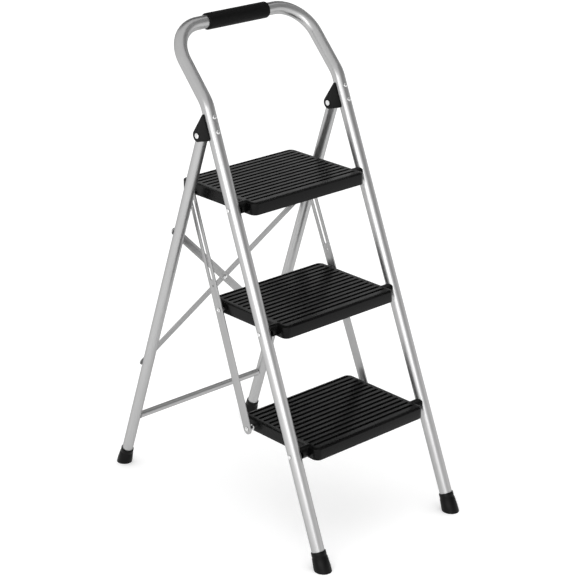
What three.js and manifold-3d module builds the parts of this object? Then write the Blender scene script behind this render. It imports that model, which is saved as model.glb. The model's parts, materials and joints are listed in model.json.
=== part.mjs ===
// Three-step folding stool: bent front tube frame with a grip, hinged rear frame with cross braces,
// three treads that swing up together, and slotted side links that tie the treads to each other.
// Millimetres, +Z up. The user climbs from -Y, and +X is to the user's right.
import * as THREE from 'three'
import { mergeVertices } from 'three/addons/utils/BufferGeometryUtils.js'
import Module from 'manifold-3d'

const wasm = await Module()
wasm.setup()

// ---- driving dimensions -------------------------------------------------------------------
const GAP = 0.3                                   // clearance between neighbouring pieces
const FRONT_LEAN = THREE.MathUtils.degToRad(21.5) // front legs from vertical
const REAR_LEAN = THREE.MathUtils.degToRad(19.2)  // rear legs from vertical
const HANDLE_LEAN = THREE.MathUtils.degToRad(42.5) // front tube above its bend
const BASE_DEPTH = 618                            // leg axis to leg axis along the floor
const FRONT_FOOT_Y = -308.2
const REAR_FOOT_Y = FRONT_FOOT_Y + BASE_DEPTH
const LEG_SPREAD = 177                            // leg axis from the middle plane, at the floor
const LEG_SPLAY = 0.0105                          // how much the legs close in per mm of height

const TUBE_R = 12.7
const TUBE_WALL = 1.2
const REAR_TUBE_R = 11.2
const FOOT_HEIGHT = 38                            // top of a rubber foot, along the leg
const TUBE_END = 9                                // tube ends this far up the leg from the floor
const BEND_Z = 847
const BEND_R = 60
const HANDLE_Z = 967
const HANDLE_CORNER_R = 70
const GRIP_R = 16.2
const GRIP_HALF = 76.5

const TREAD_HALF_WIDTH = 145
const TREAD_FRONT = -31.5                         // from the pivot axis
const TREAD_BACK = 184.5
const TREAD_TOP = 11.8
const TREAD_BOTTOM = -12.2
const TREAD_CORNER_R = 12
const FIRST_PIVOT_Z = 211.5
const RISE = 223
const TREAD_NAMES = ['bottom', 'middle', 'top']
const BOSS_R = 12
const FOLD_ANGLE = THREE.MathUtils.degToRad(60) // a tread's swing from open to folded
const PIVOT_PIN_R = 3

const LINK_BACK = 152.5                           // link pivots, from each tread's own pivot
const LINK_DROP = 4.5
const LINK_HALF_WIDTH = 11
const LINK_THICKNESS = 2.5
const LINK_X_TOP = 147.5
const LINK_X_BOTTOM = 159.4
const LINK_PIN_R = 3
const SLOT_START = 300                            // along the link, from its lowest pivot
const SLOT_END = 465
const SLOT_HALF_WIDTH = 3.4

const HINGE_S = 855.7                             // along the front leg from the floor
const HINGE_W = 33.7                              // behind the front leg's axis
const CHEEK_INNER = 13
const CHEEK_OUTER = 15
const HINGE_PIN_R = 3.5

const BRACE_HALF_WIDTH = 8.2
const BRACE_THICKNESS = 2
const BRACE_TOP_Z = 564
const BRACE_LOW_Z = 250
const CROSSBAR_Z = 118
const CROSSBAR_R = 7

// ---- leg geometry -------------------------------------------------------------------------
const legX = (z) => LEG_SPREAD - LEG_SPLAY * z
const frontY = (z) => FRONT_FOOT_Y + Math.tan(FRONT_LEAN) * z
const rearY = (z) => REAR_FOOT_Y - Math.tan(REAR_LEAN) * z

// A point in a plane across X, given along the front leg (s) and behind its axis (w).
function besideFrontLeg(x, s, w) {
  const y = FRONT_FOOT_Y + s * Math.sin(FRONT_LEAN) + w * Math.cos(FRONT_LEAN)
  const z = s * Math.cos(FRONT_LEAN) - w * Math.sin(FRONT_LEAN)
  return new THREE.Vector3(x, y, z)
}

const FRONT_BACKWARD = new THREE.Vector3(0, Math.cos(FRONT_LEAN), -Math.sin(FRONT_LEAN))
const REAR_BACKWARD = new THREE.Vector3(0, Math.cos(REAR_LEAN), Math.sin(REAR_LEAN))
const hinge = besideFrontLeg(0, HINGE_S, HINGE_W)
const treadPivots = TREAD_NAMES.map((name, i) => {
  const z = FIRST_PIVOT_Z + RISE * i
  return new THREE.Vector3(0, frontY(z), z)
})
const linkPivots = treadPivots.map((p) => new THREE.Vector3(0, p.y + LINK_BACK, p.z - LINK_DROP))

const frontLegDirection = (side) => new THREE.Vector3(-side * LEG_SPLAY, Math.tan(FRONT_LEAN), 1).normalize()
const rearLegDirection = (side) => new THREE.Vector3(-side * LEG_SPLAY, -Math.tan(REAR_LEAN), 1).normalize()
const sideName = (side) => (side < 0 ? 'left' : 'right')
const SIDES = [-1, 1]

// ---- solid helpers ------------------------------------------------------------------------
function toSolid(geometry) {
  const plain = geometry.clone()
  plain.deleteAttribute('normal')
  plain.deleteAttribute('uv')
  const welded = mergeVertices(plain)
  return new wasm.Manifold(new wasm.Mesh({
    numProp: 3,
    vertProperties: new Float32Array(welded.attributes.position.array),
    triVerts: new Uint32Array(welded.index.array),
  }))
}

function toGeometry(solid) {
  const mesh = solid.getMesh()
  const geometry = new THREE.BufferGeometry()
  geometry.setAttribute('position', new THREE.BufferAttribute(mesh.vertProperties, 3))
  geometry.setIndex(new THREE.BufferAttribute(mesh.triVerts, 1))
  geometry.computeVertexNormals()
  return geometry
}

const cut = (solid, tools) => tools.reduce((rest, tool) => rest.subtract(toSolid(tool)), solid)
const join = (solid, extras) => extras.reduce((whole, extra) => whole.add(toSolid(extra)), solid)

// Turn a shape drawn along +Y so that it starts at a point and runs along a direction.
function aim(geometry, start, direction) {
  const up = new THREE.Vector3(0, 1, 0)
  geometry.applyQuaternion(new THREE.Quaternion().setFromUnitVectors(up, direction.clone().normalize()))
  return geometry.translate(start.x, start.y, start.z)
}

// A solid of revolution along +Y from pairs of radius and height, closed on the axis.
function turned(profile, segments = 16) {
  return new THREE.LatheGeometry(profile.map(([r, y]) => new THREE.Vector2(r, y)), segments)
}

function rod(start, end, radius, segments = 16) {
  const along = end.clone().sub(start)
  const length = along.length()
  return aim(turned([[0, 0], [radius, 0], [radius, length], [0, length]], segments), start, along)
}

function box(x0, x1, y0, y1, z0, z1) {
  const geometry = new THREE.BoxGeometry(x1 - x0, y1 - y0, z1 - z0)
  return geometry.translate((x0 + x1) / 2, (y0 + y1) / 2, (z0 + z1) / 2)
}

function pipe(start, end, radius, wall, segments = 18) {
  const along = end.clone().sub(start)
  const length = along.length()
  const inner = radius - wall
  const ring = [[inner, 0], [radius, 0], [radius, length], [inner, length], [inner, 0]]
  return aim(turned(ring, segments), start, along)
}

// A path through given stations, so that straight runs need no extra points.
class StationPath extends THREE.Curve {
  constructor(stations) {
    super()
    this.stations = stations
  }

  getPoint(t) {
    const last = this.stations.length - 1
    const place = Math.min(Math.max(t, 0), 1) * last
    const i = Math.min(Math.floor(place), last - 1)
    return this.stations[i].clone().lerp(this.stations[i + 1], place - i)
  }

  getPointAt(u) {
    return this.getPoint(u)
  }

  getTangentAt(u) {
    return this.getTangent(u)
  }
}

function circlePoints(radius, count) {
  const points = []
  for (let i = 0; i < count; i++) {
    const angle = (2 * Math.PI * i) / count
    points.push(new THREE.Vector2(radius * Math.cos(angle), radius * Math.sin(angle)))
  }
  return points
}

function bentPipe(stations, radius, wall, segments) {
  const section = new THREE.Shape(circlePoints(radius, segments))
  section.holes.push(new THREE.Path(circlePoints(radius - wall, segments)))
  const extrudePath = new StationPath(stations)
  return new THREE.ExtrudeGeometry(section, { steps: stations.length - 1, extrudePath })
}

// A flat bar with round ends along +Y, of a given length between its end centres, with round holes.
function barShape(length, halfWidth, holes) {
  const shape = new THREE.Shape()
  shape.absarc(0, 0, halfWidth, Math.PI, 2 * Math.PI, false)
  shape.absarc(0, length, halfWidth, 0, Math.PI, false)
  shape.closePath()
  for (const [at, radius] of holes) {
    const hole = new THREE.Path()
    hole.absarc(0, at, radius, 0, 2 * Math.PI, true)
    shape.holes.push(hole)
  }
  return shape
}

function plate(shape, thickness, origin, across, along) {
  const depth = new THREE.Vector3().crossVectors(across, along)
  const settings = { depth: thickness, bevelEnabled: false, curveSegments: 6 }
  const geometry = new THREE.ExtrudeGeometry(shape, settings)
  geometry.translate(0, 0, -thickness / 2)
  geometry.applyMatrix4(new THREE.Matrix4().makeBasis(across, along, depth).setPosition(origin))
  return geometry
}

// ---- materials ----------------------------------------------------------------------------
function finish(color, roughness, metalness) {
  return () => new THREE.MeshStandardMaterial({ color, roughness, metalness })
}

const silverPaint = finish(0xb6b8ba, 0.4, 0.55)
const greyPaint = finish(0xa4a6a8, 0.45, 0.5)
const rivetSteel = finish(0xd8d8d6, 0.3, 0.9)
const blackPlastic = finish(0x1e1e1f, 0.55, 0)
const blackRubber = finish(0x191919, 0.8, 0)

const stool = new THREE.Group()

function add(name, geometry, material, position = new THREE.Vector3()) {
  const mesh = new THREE.Mesh(geometry, material())
  mesh.name = name
  mesh.position.copy(position)
  stool.add(mesh)
}

// ---- front frame --------------------------------------------------------------------------
function frontTubeSide() {
  const lower = new THREE.Vector2(Math.sin(FRONT_LEAN), Math.cos(FRONT_LEAN))
  const upper = new THREE.Vector2(Math.sin(HANDLE_LEAN), Math.cos(HANDLE_LEAN))
  const bend = new THREE.Vector2(frontY(BEND_Z), BEND_Z)
  const station = (p, inset) => new THREE.Vector3(legX(p.y) - inset, p.x, p.y)
  const floor = new THREE.Vector2(FRONT_FOOT_Y, 0)
  const stations = [station(floor.addScaledVector(lower, TUBE_END), 0)]

  const reach = BEND_R * Math.tan((HANDLE_LEAN - FRONT_LEAN) / 2)
  const bendSteps = 4
  const entry = bend.clone().addScaledVector(lower, -reach)
  const centre = entry.clone().add(new THREE.Vector2(lower.y, -lower.x).multiplyScalar(BEND_R))
  for (let i = 0; i <= bendSteps; i++) {
    const lean = THREE.MathUtils.lerp(FRONT_LEAN, HANDLE_LEAN, i / bendSteps)
    const out = new THREE.Vector2(Math.cos(lean), -Math.sin(lean))
    stations.push(station(centre.clone().addScaledVector(out, -BEND_R), 0))
  }

  const cornerSteps = 7
  const upperLength = (HANDLE_Z - BEND_Z) / Math.cos(HANDLE_LEAN)
  for (let i = 0; i <= cornerSteps; i++) {
    const turn = (Math.PI / 2) * (i / cornerSteps)
    const along = upperLength - HANDLE_CORNER_R * (1 - Math.sin(turn))
    const p = bend.clone().addScaledVector(upper, along)
    stations.push(station(p, HANDLE_CORNER_R * (1 - Math.cos(turn))))
  }
  return stations
}

function frontTubeStations() {
  const right = frontTubeSide()
  const left = right.map((p) => new THREE.Vector3(-p.x, p.y, p.z))
  return left.concat(right.reverse())
}

const BRACKET_RIVETS_S = [852.5, 881]
const BRACKET_RIVET_R = 2.5

function frontFrame() {
  const holes = []
  for (const side of SIDES) {
    for (const pivot of treadPivots) {
      const x = side * legX(pivot.z)
      const from = new THREE.Vector3(x - 20, pivot.y, pivot.z)
      holes.push(rod(from, from.clone().setX(x + 20), PIVOT_PIN_R + GAP, 12))
    }
    for (const s of BRACKET_RIVETS_S) {
      const x = side * legX(s * Math.cos(FRONT_LEAN))
      const from = besideFrontLeg(x, s, -20)
      holes.push(rod(from, besideFrontLeg(x, s, 20), BRACKET_RIVET_R + GAP, 12))
    }
  }
  const tube = bentPipe(frontTubeStations(), TUBE_R, TUBE_WALL, 18)
  add('front_frame', toGeometry(cut(toSolid(tube), holes)), silverPaint)
}

function handleGrip() {
  const inner = TUBE_R + GAP
  const round = 3
  const half = GRIP_HALF
  const profile = [[inner, -half], [GRIP_R - round, -half], [GRIP_R - 0.9, -half + 0.9],
    [GRIP_R, -half + round], [GRIP_R, half - round], [GRIP_R - 0.9, half - 0.9], [GRIP_R - round, half],
    [inner, half], [inner, -half]]
  const upperLength = (HANDLE_Z - BEND_Z) / Math.cos(HANDLE_LEAN)
  const y = frontY(BEND_Z) + upperLength * Math.sin(HANDLE_LEAN)
  const grip = aim(turned(profile, 24), new THREE.Vector3(), new THREE.Vector3(1, 0, 0))
  add('handle_grip', grip, blackRubber, new THREE.Vector3(0, y, HANDLE_Z))
}

// A rubber foot on a leg that leans: a flared boot, cut level with the floor, with a socket.
function foot(name, floorPoint, direction, tubeR, soleR) {
  const collar = tubeR + 2
  const profile = [[0, -12], [soleR, -12], [soleR, 8], [collar + 0.6, 26], [collar, 30],
    [collar, FOOT_HEIGHT], [0, FOOT_HEIGHT]]
  const boot = toSolid(aim(turned(profile, 20), floorPoint, direction))
  const socketStart = floorPoint.clone().addScaledVector(direction, TUBE_END - GAP)
  const socket = rod(socketStart, floorPoint.clone().addScaledVector(direction, 60), tubeR + GAP, 20)
  const ground = box(-400, 400, -500, 500, -60, 0)
  add(name, toGeometry(cut(boot, [socket, ground])), blackRubber)
}

// Rivet drawn along +Y: a domed head below zero and a shank that runs to its length.
function rivet(headR, headHeight, shankR, length) {
  const profile = [[0, -headHeight], [headR * 0.6, -headHeight * 0.8], [headR, -headHeight * 0.25],
    [headR, 0], [shankR, 0], [shankR, length], [0, length]]
  return turned(profile, 10)
}

function treadPivotRivets() {
  for (const side of SIDES) {
    treadPivots.forEach((pivot, i) => {
      const outside = side * (legX(pivot.z) + TUBE_R + GAP)
      const length = Math.abs(outside) - TREAD_HALF_WIDTH - 3
      const start = new THREE.Vector3(outside, pivot.y, pivot.z)
      const pin = aim(rivet(4.2, 1.7, PIVOT_PIN_R, length), start, new THREE.Vector3(-side, 0, 0))
      add(`tread_pivot_rivet_${TREAD_NAMES[i]}_${sideName(side)}`, pin, rivetSteel)
    })
  }
}

// ---- hinge brackets -----------------------------------------------------------------------
// Side outline of a bracket: x is behind the leg axis, y is along the leg from the hinge.
function bracketOutline(front) {
  const lobe = 12
  const shape = new THREE.Shape()
  shape.moveTo(front, -9)
  shape.quadraticCurveTo(front, -15.5, front + 7, -14.9)
  shape.lineTo(HINGE_W + lobe * Math.sin(-0.1), -lobe * Math.cos(0.1))
  shape.absarc(HINGE_W, 0, lobe, -Math.PI / 2 - 0.1, 0.32 * Math.PI, false)
  shape.lineTo(5, 34)
  shape.quadraticCurveTo(front + 2, 37.5, front, 33)
  shape.closePath()
  return shape
}

function hingeBracket(side) {
  const along = frontLegDirection(side)
  const outward = new THREE.Vector3().crossVectors(FRONT_BACKWARD, along).normalize()
  const backward = new THREE.Vector3().crossVectors(along, outward)
  const x = side * legX(HINGE_S * Math.cos(FRONT_LEAN))
  const origin = besideFrontLeg(x, HINGE_S, 0)
  const block = toSolid(plate(bracketOutline(-1), 2 * CHEEK_OUTER, origin, backward, along))
  const at = (w, s) => origin.clone().addScaledVector(backward, w).addScaledVector(along, s)

  const tubeBore = rod(at(0, -40), at(0, 70), TUBE_R + GAP, 20)
  const frontMouth = new THREE.BoxGeometry(2 * (TUBE_R + GAP), 20, 120)
  const basis = new THREE.Matrix4().makeBasis(outward, backward, along)
  frontMouth.translate(0, -10, 0).applyMatrix4(basis.clone().setPosition(at(0, 10)))
  const legRoom = new THREE.BoxGeometry(2 * CHEEK_INNER, 60, 160)
  legRoom.translate(0, 30, 0).applyMatrix4(basis.clone().setPosition(at(15.5, 0)))

  const holes = [tubeBore, frontMouth, legRoom]
  const pin = new THREE.Vector3(x, hinge.y, hinge.z)
  holes.push(rod(pin.clone().setX(x - 30), pin.clone().setX(x + 30), HINGE_PIN_R + GAP, 12))
  for (const s of BRACKET_RIVETS_S) {
    const rx = side * legX(s * Math.cos(FRONT_LEAN))
    holes.push(rod(besideFrontLeg(rx, s, 0), besideFrontLeg(rx, s, 40), BRACKET_RIVET_R + GAP, 12))
  }
  add(`hinge_bracket_${sideName(side)}`, toGeometry(cut(block, holes)), blackPlastic)
}

function hingePin(side) {
  const x = legX(HINGE_S * Math.cos(FRONT_LEAN))
  const half = CHEEK_OUTER + 0.5
  const head = 5.5
  const profile = [[0, -half - 1], [head - 0.6, -half - 1], [head, -half - 0.5], [head, -half],
    [HINGE_PIN_R, -half], [HINGE_PIN_R, half], [head, half], [head, half + 0.6], [head * 0.6, half + 1.8],
    [0, half + 2]]
  const centre = new THREE.Vector3(side * x, hinge.y, hinge.z)
  const pin = aim(turned(profile, 12), new THREE.Vector3(), new THREE.Vector3(side, 0, 0))
  add(`hinge_pin_${sideName(side)}`, pin, rivetSteel, centre)
}

function bracketRivets(side) {
  BRACKET_RIVETS_S.forEach((s, i) => {
    const x = side * legX(s * Math.cos(FRONT_LEAN))
    const start = besideFrontLeg(x, s, -TUBE_R - GAP)
    const length = TUBE_R + GAP + 16.3
    const place = i === 0 ? 'lower' : 'upper'
    const pin = aim(rivet(4.2, 1.6, BRACKET_RIVET_R, length), start, FRONT_BACKWARD)
    add(`bracket_rivet_${place}_${sideName(side)}`, pin, rivetSteel)
  })
}

// ---- treads -------------------------------------------------------------------------------
function treadOutline(inset) {
  const w = TREAD_HALF_WIDTH - inset
  const y0 = TREAD_FRONT + inset
  const y1 = TREAD_BACK - inset
  const r = Math.max(TREAD_CORNER_R - inset, 2)
  const shape = new THREE.Shape()
  shape.moveTo(-w + r, y0)
  shape.absarc(w - r, y0 + r, r, -Math.PI / 2, 0, false)
  shape.absarc(w - r, y1 - r, r, 0, Math.PI / 2, false)
  shape.absarc(-w + r, y1 - r, r, Math.PI / 2, Math.PI, false)
  shape.absarc(-w + r, y0 + r, r, Math.PI, 1.5 * Math.PI, false)
  return shape
}

// A closed skin through tread outlines, from pairs of inset and height, lowest first.
function stackedSlab(levels) {
  const rings = levels.map(([inset, z]) => {
    const points = treadOutline(inset).extractPoints(4).shape
    if (points[0].distanceTo(points[points.length - 1]) < 1e-6) points.pop()
    return points.map((p) => new THREE.Vector3(p.x, p.y, z))
  })
  const count = rings[0].length
  const index = []
  for (let i = 0; i + 1 < rings.length; i++) {
    for (let k = 0; k < count; k++) {
      const a = i * count + k
      const b = i * count + ((k + 1) % count)
      index.push(a, b, b + count, a, b + count, a + count)
    }
  }
  const top = (rings.length - 1) * count
  for (let k = 1; k + 1 < count; k++) {
    index.push(0, k + 1, k)
    index.push(top, top + k, top + k + 1)
  }
  const geometry = new THREE.BufferGeometry().setFromPoints(rings.flat())
  return geometry.setIndex(index)
}

function slab(shape, z0, z1) {
  const settings = { depth: z1 - z0, bevelEnabled: false, curveSegments: 4 }
  const geometry = new THREE.ExtrudeGeometry(shape, settings)
  return geometry.translate(0, 0, z0)
}

const TREAD_WALL = 3.2
const TREAD_SKIN = 4.6
const CROWN_WIDTH = 8.5                           // the sloping rim around the top
const CROWN_DROP = 1.6
const FIRST_GROOVE = -10.8                        // from the pivot axis
const GROOVE_PITCH = 14.26
const GROOVE_COUNT = 14
const GROOVE_WIDTH = 6.6
const GROOVE_DEPTH = 2.6

// The room that a leg takes up beside a tread over the whole fold, seen from the tread.
function legSweep(side, legCentreX) {
  const steps = 4
  const sweep = []
  for (let i = 0; i <= steps; i++) {
    const lean = FRONT_LEAN + FOLD_ANGLE * (i / steps)
    const reach = new THREE.Vector3(0, Math.sin(lean), Math.cos(lean)).multiplyScalar(40)
    const centre = new THREE.Vector3(side * legCentreX, 0, 0)
    sweep.push(rod(centre.clone().sub(reach), centre.clone().add(reach), TUBE_R + 2 * GAP, 24))
  }
  return sweep
}

function treadSolid(legCentreX) {
  const levels = [[0, TREAD_BOTTOM]]
  const crownSteps = 3
  for (let i = 0; i <= crownSteps; i++) {
    const t = i / crownSteps
    levels.push([CROWN_WIDTH * t, TREAD_TOP - CROWN_DROP * (1 - t) ** 2])
  }
  let tread = toSolid(stackedSlab(levels))
  const underside = slab(treadOutline(TREAD_WALL), TREAD_BOTTOM - 5, TREAD_TOP - TREAD_SKIN)
  tread = cut(tread, [underside])

  // stiffening ribs under the top skin
  const ribs = []
  const inside = TREAD_HALF_WIDTH - 1.5
  const ribLow = TREAD_BOTTOM + 1.5
  const ribHigh = TREAD_TOP - GROOVE_DEPTH - 1
  for (const y of [20, 76, 132]) {
    ribs.push(box(-inside, inside, y - 1, y + 1, ribLow, ribHigh))
  }
  for (const x of [-96, -48, 0, 48, 96]) {
    ribs.push(box(x - 1, x + 1, TREAD_FRONT + 2, TREAD_BACK - 2, ribLow, ribHigh))
  }
  for (const side of SIDES) {
    const inner = new THREE.Vector3(side * (TREAD_HALF_WIDTH - 12), 0, 0)
    ribs.push(rod(inner, new THREE.Vector3(side * (legCentreX - 7), 0, 0), BOSS_R, 24))
    const seat = new THREE.Vector3(side * (TREAD_HALF_WIDTH - 12), LINK_BACK, -LINK_DROP + 1.5)
    ribs.push(rod(seat, seat.clone().setX(side * (TREAD_HALF_WIDTH - 1)), 7, 12))
  }
  tread = join(tread, ribs)

  const cuts = []
  for (let i = 0; i < GROOVE_COUNT; i++) {
    const y = FIRST_GROOVE + GROOVE_PITCH * i
    const half = GROOVE_WIDTH / 2
    const end = TREAD_HALF_WIDTH - 10
    cuts.push(box(-end, end, y - half, y + half, TREAD_TOP - GROOVE_DEPTH, TREAD_TOP + 2))
  }
  for (const side of SIDES) {
    const bore = new THREE.Vector3(side * (TREAD_HALF_WIDTH + 2), 0, 0)
    cuts.push(rod(bore, new THREE.Vector3(side * 200, 0, 0), PIVOT_PIN_R + GAP, 12))
    cuts.push(...legSweep(side, legCentreX))
    const link = new THREE.Vector3(side * (TREAD_HALF_WIDTH - 8), LINK_BACK, -LINK_DROP)
    cuts.push(rod(link, link.clone().setX(side * 200), LINK_PIN_R + GAP, 12))
  }
  return toGeometry(cut(tread, cuts))
}

function treads() {
  treadPivots.forEach((pivot, i) => {
    add(`tread_${TREAD_NAMES[i]}`, treadSolid(legX(pivot.z)), blackPlastic, pivot)
  })
}

// ---- side links ---------------------------------------------------------------------------
function linkX(i) {
  return THREE.MathUtils.lerp(LINK_X_BOTTOM, LINK_X_TOP, i / 2)
}

function link(side) {
  const low = linkPivots[0].clone().setX(side * linkX(0))
  const high = linkPivots[2].clone().setX(side * linkX(2))
  const along = high.clone().sub(low)
  const length = along.length()
  along.normalize()
  const outward = new THREE.Vector3().crossVectors(FRONT_BACKWARD, along).normalize()
  const across = new THREE.Vector3().crossVectors(along, outward)
  const hole = LINK_PIN_R + GAP
  const shape = barShape(length, LINK_HALF_WIDTH, [[0, hole], [length / 2, hole], [length, hole], [288, 2]])
  const slot = new THREE.Path()
  slot.absarc(0, SLOT_START + SLOT_HALF_WIDTH, SLOT_HALF_WIDTH, 2 * Math.PI, Math.PI, true)
  slot.absarc(0, SLOT_END - SLOT_HALF_WIDTH, SLOT_HALF_WIDTH, Math.PI, 0, true)
  slot.closePath()
  shape.holes.push(slot)
  add(`link_${sideName(side)}`, plate(shape, LINK_THICKNESS, low, across, along), greyPaint)
}

// Link rivet drawn along +Y: shank into the tread, flange on the tread, spacer, neck, tubular head.
function linkRivet(side, i) {
  const inside = TREAD_HALF_WIDTH - 6
  const flangeStart = TREAD_HALF_WIDTH + GAP
  const neckStart = linkX(i) - LINK_THICKNESS / 2 - GAP
  const neckEnd = linkX(i) + LINK_THICKNESS / 2 + GAP
  const flangeEnd = flangeStart + Math.min(1.6, 0.7 * (neckStart - flangeStart))
  const tip = neckEnd + 1.1
  const r = LINK_PIN_R
  const spacer = 4
  const bore = 2.1
  const profile = [[0, inside], [r, inside], [r, flangeStart], [5.5, flangeStart], [5.5, flangeEnd],
    [spacer, flangeEnd], [spacer, neckStart], [r, neckStart], [r, neckEnd], [4.4, neckEnd], [4, tip],
    [bore, tip], [bore, tip - 2.5], [0, tip - 2.5]]
  const start = new THREE.Vector3(0, linkPivots[i].y, linkPivots[i].z)
  const pin = aim(turned(profile, 12), start, new THREE.Vector3(side, 0, 0))
  add(`link_rivet_${TREAD_NAMES[i]}_${sideName(side)}`, pin, rivetSteel)
}

// ---- rear frame ---------------------------------------------------------------------------
const rearPoint = (side, z) => new THREE.Vector3(side * legX(z), rearY(z), z)

// Where the rear leg crosses the middle line of the side link.
function slotPinZ() {
  const linkW = LINK_BACK * Math.cos(FRONT_LEAN) + LINK_DROP * Math.sin(FRONT_LEAN)
  const spread = Math.sin(FRONT_LEAN + REAR_LEAN)
  return hinge.z - ((linkW - HINGE_W) / spread) * Math.cos(REAR_LEAN)
}

const SLOT_PIN_R = 2.9
const SLOT_PIN_TIP_X = 154.6
const REAR_RIVET_R = 2.5

function rearLeg(side) {
  const direction = rearLegDirection(side)
  const low = rearPoint(side, 0).addScaledVector(direction, TUBE_END)
  const high = rearPoint(side, hinge.z).addScaledVector(direction, 9)
  const holes = []
  const pivot = new THREE.Vector3(side * legX(hinge.z), hinge.y, hinge.z)
  holes.push(rod(pivot.clone().setX(pivot.x - 20), pivot.clone().setX(pivot.x + 20), HINGE_PIN_R + GAP, 12))
  for (const z of [slotPinZ(), CROSSBAR_Z]) {
    const from = rearPoint(side, z)
    const radius = z === CROSSBAR_Z ? REAR_RIVET_R : SLOT_PIN_R
    holes.push(rod(from, from.clone().setX(from.x - side * 20), radius + GAP, 12))
  }
  for (const z of [BRACE_TOP_Z, BRACE_LOW_Z]) {
    const from = rearPoint(side, z)
    holes.push(rod(from, from.clone().addScaledVector(REAR_BACKWARD, 20), REAR_RIVET_R + GAP, 12))
  }
  const tube = toSolid(pipe(low, high, REAR_TUBE_R, TUBE_WALL))
  add(`rear_leg_${sideName(side)}`, toGeometry(cut(tube, holes)), silverPaint)
}

function slotPin(side) {
  const z = slotPinZ()
  const face = legX(z) - REAR_TUBE_R
  const r = SLOT_PIN_R
  const flange = face - GAP
  const profile = [[0, SLOT_PIN_TIP_X], [r, SLOT_PIN_TIP_X], [r, flange - 1.2], [5, flange - 1.2],
    [5, flange], [r, flange], [r, face + 4], [0, face + 4]]
  const pin = aim(turned(profile, 12), new THREE.Vector3(0, rearY(z), z), new THREE.Vector3(side, 0, 0))
  add(`slot_pin_${sideName(side)}`, pin, rivetSteel)
}

const BRACE_FRONT = REAR_TUBE_R + GAP             // brace faces behind the rear leg axes
const BRACE_STEP = BRACE_THICKNESS + GAP

function brace(name, topSide, layer) {
  const offset = BRACE_FRONT + BRACE_THICKNESS / 2 + layer * BRACE_STEP
  const low = rearPoint(-topSide, BRACE_LOW_Z).addScaledVector(REAR_BACKWARD, offset)
  const high = rearPoint(topSide, BRACE_TOP_Z).addScaledVector(REAR_BACKWARD, offset)
  const along = high.clone().sub(low)
  const length = along.length()
  along.normalize()
  const across = new THREE.Vector3().crossVectors(along, REAR_BACKWARD).normalize()
  const hole = REAR_RIVET_R + GAP
  const crossing = length * braceCrossing()
  const shape = barShape(length, BRACE_HALF_WIDTH, [[0, hole], [crossing, hole], [length, hole]])
  add(name, plate(shape, BRACE_THICKNESS, low, across, along), greyPaint)
}

// Share of a brace's length, from its low end, where it meets the other brace at the middle plane.
function braceCrossing() {
  const lowX = legX(BRACE_LOW_Z)
  return lowX / (lowX + legX(BRACE_TOP_Z))
}

function braceRivets() {
  const back = BRACE_FRONT + 2 * BRACE_STEP + GAP
  for (const side of SIDES) {
    for (const z of [BRACE_TOP_Z, BRACE_LOW_Z]) {
      const start = rearPoint(side, z).addScaledVector(REAR_BACKWARD, back)
      const place = z === BRACE_TOP_Z ? 'upper' : 'lower'
      const shape = rivet(5.2, 2.6, REAR_RIVET_R, back - REAR_TUBE_R + 4)
      const pin = aim(shape, start, REAR_BACKWARD.clone().negate())
      add(`brace_rivet_${place}_${sideName(side)}`, pin, rivetSteel)
    }
  }
  const z = THREE.MathUtils.lerp(BRACE_LOW_Z, BRACE_TOP_Z, braceCrossing())
  const start = new THREE.Vector3(0, rearY(z), z).addScaledVector(REAR_BACKWARD, back)
  const length = back - BRACE_FRONT + GAP
  const half = [[0, -2.4], [3, -2], [5, -0.6], [5, 0], [REAR_RIVET_R, 0]]
  const profile = half.concat(half.slice().reverse().map(([r, y]) => [r, length - y]))
  add('brace_rivet_centre', aim(turned(profile, 12), start, REAR_BACKWARD.clone().negate()), rivetSteel)
}

// The lower crossbar: a thin tube closed at each end by a disc that stands against a rear leg.
function crossbar() {
  const tab = 2.2
  const end = legX(CROSSBAR_Z) - REAR_TUBE_R - GAP
  const y = rearY(CROSSBAR_Z)
  const tube = pipe(new THREE.Vector3(-end + 1, y, CROSSBAR_Z), new THREE.Vector3(end - 1, y, CROSSBAR_Z),
    CROSSBAR_R, 1, 16)
  const tabs = []
  for (const side of SIDES) {
    const outer = new THREE.Vector3(side * end, y, CROSSBAR_Z)
    tabs.push(rod(outer.clone().setX(side * (end - tab)), outer, CROSSBAR_R + 0.4, 16))
  }
  const holes = [rod(new THREE.Vector3(-300, y, CROSSBAR_Z), new THREE.Vector3(300, y, CROSSBAR_Z),
    REAR_RIVET_R + GAP, 12)]
  add('rear_crossbar', toGeometry(cut(join(toSolid(tube), tabs), holes)), silverPaint)
}

function crossbarRivets() {
  for (const side of SIDES) {
    const inner = legX(CROSSBAR_Z) - REAR_TUBE_R - 2.2 - 2 * GAP
    const start = new THREE.Vector3(side * inner, rearY(CROSSBAR_Z), CROSSBAR_Z)
    const pin = aim(rivet(4.5, 1.5, REAR_RIVET_R, 7), start, new THREE.Vector3(side, 0, 0))
    add(`crossbar_rivet_${sideName(side)}`, pin, rivetSteel)
  }
}

// ---- assembly -----------------------------------------------------------------------------
frontFrame()
handleGrip()
treadPivotRivets()
treads()
for (const side of SIDES) {
  const name = sideName(side)
  foot(`front_foot_${name}`, new THREE.Vector3(side * LEG_SPREAD, FRONT_FOOT_Y, 0), frontLegDirection(side),
    TUBE_R, 17)
  foot(`rear_foot_${name}`, new THREE.Vector3(side * LEG_SPREAD, REAR_FOOT_Y, 0), rearLegDirection(side),
    REAR_TUBE_R, 15.8)
  hingeBracket(side)
  hingePin(side)
  bracketRivets(side)
  link(side)
  TREAD_NAMES.forEach((tread, i) => linkRivet(side, i))
  rearLeg(side)
  slotPin(side)
}
brace('brace_left_top', -1, 0)
brace('brace_right_top', 1, 1)
braceRivets()
crossbar()
crossbarRivets()

export default stool
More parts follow.
